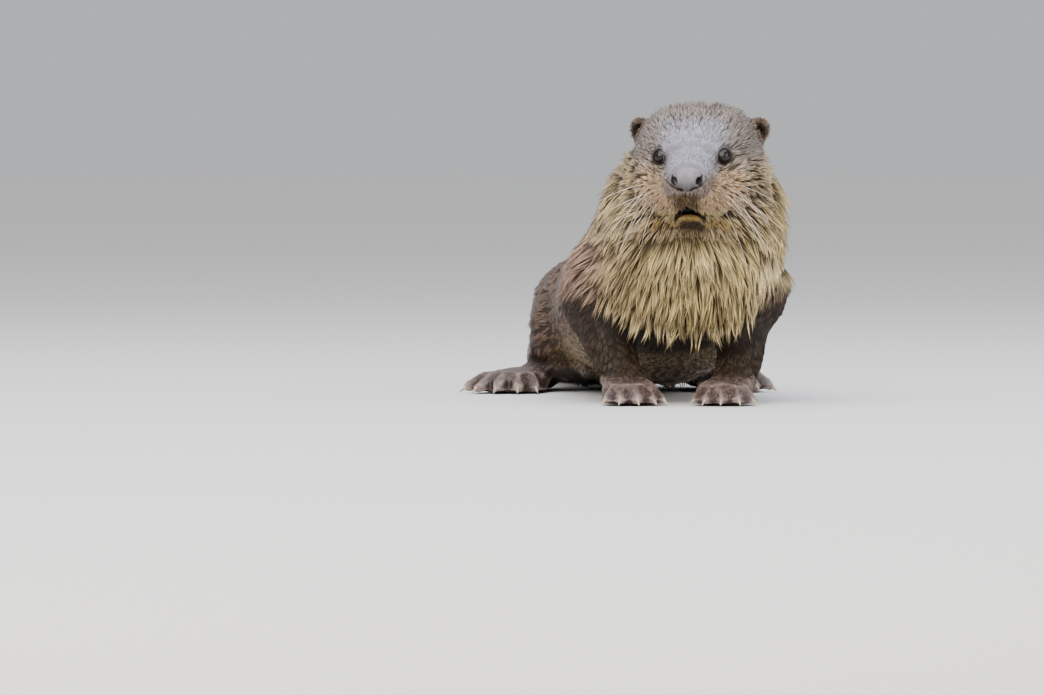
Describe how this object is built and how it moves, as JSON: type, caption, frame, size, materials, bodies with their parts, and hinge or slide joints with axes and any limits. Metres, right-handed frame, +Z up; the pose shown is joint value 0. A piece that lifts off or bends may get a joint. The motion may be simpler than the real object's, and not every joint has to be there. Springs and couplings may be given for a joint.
{
  "type": "eurasian otter figure",
  "caption": "Still life-size figure of a Eurasian otter crouched with chest and head raised, tail laid out behind.",
  "frame": {"origin": "middle of the footprint's box, on the floor the animal rests on", "axes": "+Z up; the head faces -Y; the animal's left side is at +X; trunk and tail run towards +Y"},
  "size_m": [0.2484, 0.8934, 0.2179],
  "materials": {
    "coat_brown": "dense wet coat of short mauve-brown fur",
    "coat_pale": "pale cream throat and bib fur",
    "paw_skin": "bare moist skin of the feet",
    "nose_skin": "moist grey leathery pad",
    "eye_gloss": "wet dark brown eye",
    "claw_horn": "pale worn horn"
  },
  "bodies": {
    "root": {"bib": "coat_pale", "chest": "coat_brown", "claw_forepaw_left_1": "claw_horn", "claw_forepaw_left_2": "claw_horn", "claw_forepaw_left_3": "claw_horn", "claw_forepaw_left_4": "claw_horn", "claw_forepaw_left_5": "claw_horn", "claw_forepaw_right_1": "claw_horn", "claw_forepaw_right_2": "claw_horn", "claw_forepaw_right_3": "claw_horn", "claw_forepaw_right_4": "claw_horn", "claw_forepaw_right_5": "claw_horn", "claw_hind_foot_left_1": "claw_horn", "claw_hind_foot_left_2": "claw_horn", "claw_hind_foot_left_3": "claw_horn", "claw_hind_foot_left_4": "claw_horn", "claw_hind_foot_left_5": "claw_horn", "claw_hind_foot_right_1": "claw_horn", "claw_hind_foot_right_2": "claw_horn", "claw_hind_foot_right_3": "claw_horn", "claw_hind_foot_right_4": "claw_horn", "claw_hind_foot_right_5": "claw_horn", "ear_left": "coat_brown", "ear_right": "coat_brown", "eye_left": "eye_gloss", "eye_right": "eye_gloss", "foreleg_left": "coat_brown", "foreleg_right": "coat_brown", "forepaw_left": "paw_skin", "forepaw_right": "paw_skin", "head": "coat_brown", "hind_foot_left": "paw_skin", "hind_foot_right": "paw_skin", "jaw": "coat_pale", "loins": "coat_brown", "neck": "coat_brown", "nose": "nose_skin", "tail_middle": "coat_brown", "tail_root": "coat_brown", "tail_tip": "coat_brown", "thigh_left": "coat_brown", "thigh_right": "coat_brown"}
  },
  "joints": []
}
